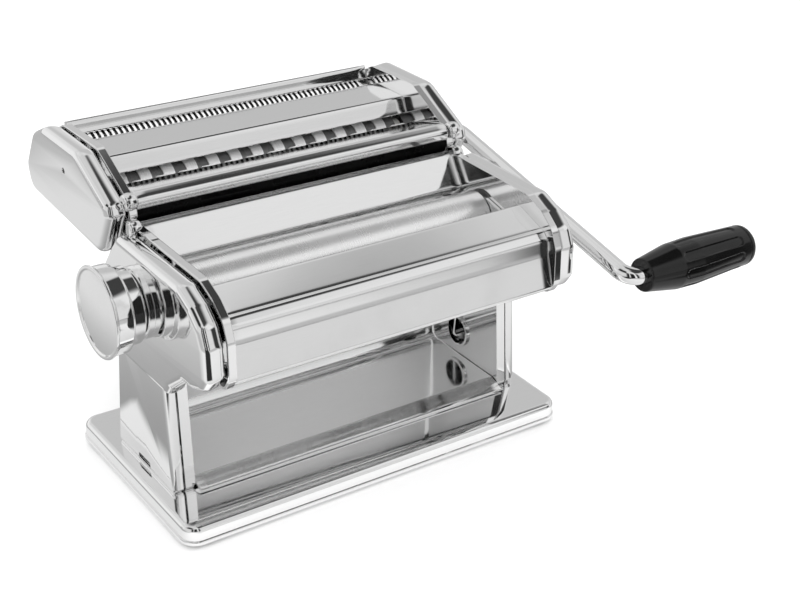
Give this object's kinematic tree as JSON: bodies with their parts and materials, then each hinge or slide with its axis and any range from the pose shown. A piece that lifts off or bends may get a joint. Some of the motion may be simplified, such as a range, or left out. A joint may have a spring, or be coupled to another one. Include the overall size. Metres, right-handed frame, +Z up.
{
  "type": "pasta machine",
  "caption": "Hand-cranked pasta machine with smooth sheeting rollers, a turning thickness knob, a lift-off cutter unit for wide and fine ribbons, a black-gripped crank and rubber feet",
  "frame": {"origin": "on the table under the middle of the base plate", "axes": "+X along the rollers towards the crank, +Y from the thickness rollers towards the cutter unit, +Z up"},
  "size_m": [0.3391, 0.2321, 0.1624],
  "materials": {
    "polished_steel": "mirror-polished pressed steel",
    "sheet_steel": "polished sheet steel with faint rolling lines",
    "roller_alloy": "finely turned and polished",
    "machined_steel": "machined, lightly oiled",
    "chromed_rod": "chromed round rod",
    "knob_chrome": "polished, face finely turned",
    "black_plastic": "glossy black",
    "pale_nylon": "plain moulded nylon",
    "black_rubber": "matt black rubber"
  },
  "bodies": {
    "machine": {"base_plate": "polished_steel", "rubber_feet": "black_rubber", "foot_screws": "machined_steel", "left_upright_outer": "polished_steel", "right_upright_outer": "polished_steel", "left_upright_inner": "polished_steel", "right_upright_inner": "polished_steel", "dough_slide": "sheet_steel", "left_side_plate": "polished_steel", "right_side_plate": "polished_steel", "left_side_cover": "polished_steel", "right_side_cover": "polished_steel", "tie_rods": "chromed_rod", "cutter_hook_rod": "chromed_rod", "feed_tray": "sheet_steel", "front_cover": "sheet_steel", "rear_cover": "sheet_steel", "rear_scraper": "sheet_steel", "roller_bushings": "pale_nylon", "index_ring": "knob_chrome"},
    "cradle": {"left_bearing_block": "machined_steel", "right_bearing_block": "machined_steel", "cradle_bar": "chromed_rod", "front_scraper": "sheet_steel"},
    "front_sheeting_roller": {"front_roller": "roller_alloy", "front_roller_gear": "machined_steel"},
    "rear_sheeting_roller": {"rear_roller": "roller_alloy", "rear_roller_gear": "machined_steel"},
    "adjuster": {"adjusting_shaft": "machined_steel", "knob_retainer": "machined_steel", "knob_spring": "machined_steel"},
    "knob": {"thickness_knob": "knob_chrome", "knob_face": "knob_chrome", "index_pin": "machined_steel"},
    "cutter_unit": {"left_cutter_plate": "polished_steel", "right_cutter_plate": "polished_steel", "left_cutter_cap": "polished_steel", "right_cutter_cap": "polished_steel", "left_cutter_hook": "machined_steel", "right_cutter_hook": "machined_steel", "cutter_front_chute": "sheet_steel", "cutter_roof": "sheet_steel", "cutter_rear_wall": "sheet_steel", "cutter_tie_rods": "chromed_rod", "cutter_bushings": "pale_nylon", "wide_combs": "pale_nylon", "fine_combs": "pale_nylon"},
    "wide_front": {"wide_front_cutter": "roller_alloy", "wide_front_gear": "machined_steel"},
    "wide_rear": {"wide_rear_cutter": "roller_alloy", "wide_rear_gear": "machined_steel"},
    "fine_front": {"fine_front_cutter": "roller_alloy", "fine_front_gear": "machined_steel"},
    "fine_rear": {"fine_rear_cutter": "roller_alloy", "fine_rear_gear": "machined_steel"},
    "crank": {"crank_rod": "chromed_rod", "drive_pin": "machined_steel"},
    "grip": {"crank_grip": "black_plastic", "grip_end_cap": "black_plastic"}
  },
  "joints": [
    {"name": "rear_roller_spin", "type": "hinge", "parent": "machine", "child": "rear_sheeting_roller", "pos_m": [0, 0.02332, 0.09788], "axis": [1, 0, 0], "continuous": true},
    {"name": "knob_turn", "type": "hinge", "parent": "machine", "child": "adjuster", "pos_m": [-0.11, -0.0054, 0.1091], "axis": [1, 0, 0], "range_deg": [0, 180]},
    {"name": "roller_gap", "type": "slide", "parent": "machine", "child": "cradle", "axis": [0, 0.9397, -0.342], "range_m": [0, 0.0042]},
    {"name": "front_roller_spin", "type": "hinge", "parent": "cradle", "child": "front_sheeting_roller", "pos_m": [0, -0.0075, 0.1091], "axis": [1, 0, 0], "continuous": true},
    {"name": "knob_pull", "type": "slide", "parent": "adjuster", "child": "knob", "axis": [-1, 0, 0], "range_m": [0, 0.004], "stiffness_N_per_m": 600, "springref_m": -0.002, "deforming": ["knob_spring"]},
    {"name": "cutter_lift", "type": "slide", "parent": "machine", "child": "cutter_unit", "axis": [0, 0, 1], "range_m": [0, 0.06]},
    {"name": "wide_front_spin", "type": "hinge", "parent": "cutter_unit", "child": "wide_front", "pos_m": [0, 0.0586, 0.1309], "axis": [1, 0, 0], "continuous": true},
    {"name": "wide_rear_spin", "type": "hinge", "parent": "cutter_unit", "child": "wide_rear", "pos_m": [0, 0.0752, 0.1309], "axis": [1, 0, 0], "continuous": true},
    {"name": "fine_front_spin", "type": "hinge", "parent": "cutter_unit", "child": "fine_front", "pos_m": [0, 0.0899, 0.1421], "axis": [1, 0, 0], "continuous": true},
    {"name": "fine_rear_spin", "type": "hinge", "parent": "cutter_unit", "child": "fine_rear", "pos_m": [0, 0.1065, 0.1421], "axis": [1, 0, 0], "continuous": true},
    {"name": "crank_pull", "type": "slide", "parent": "wide_front", "child": "crank", "axis": [1, 0, 0], "range_m": [0, 0.03]},
    {"name": "grip_spin", "type": "hinge", "parent": "crank", "child": "grip", "pos_m": [0.168, -0.0935, 0.0992], "axis": [1, 0, 0], "continuous": true}
  ],
  "couplings": [
    {"joint": "knob_turn", "follows": "roller_gap", "rad_per_m": 748},
    {"joint": "front_roller_spin", "follows": "rear_roller_spin", "ratio": -1},
    {"joint": "wide_rear_spin", "follows": "wide_front_spin", "ratio": -1},
    {"joint": "fine_rear_spin", "follows": "fine_front_spin", "ratio": -1}
  ]
}
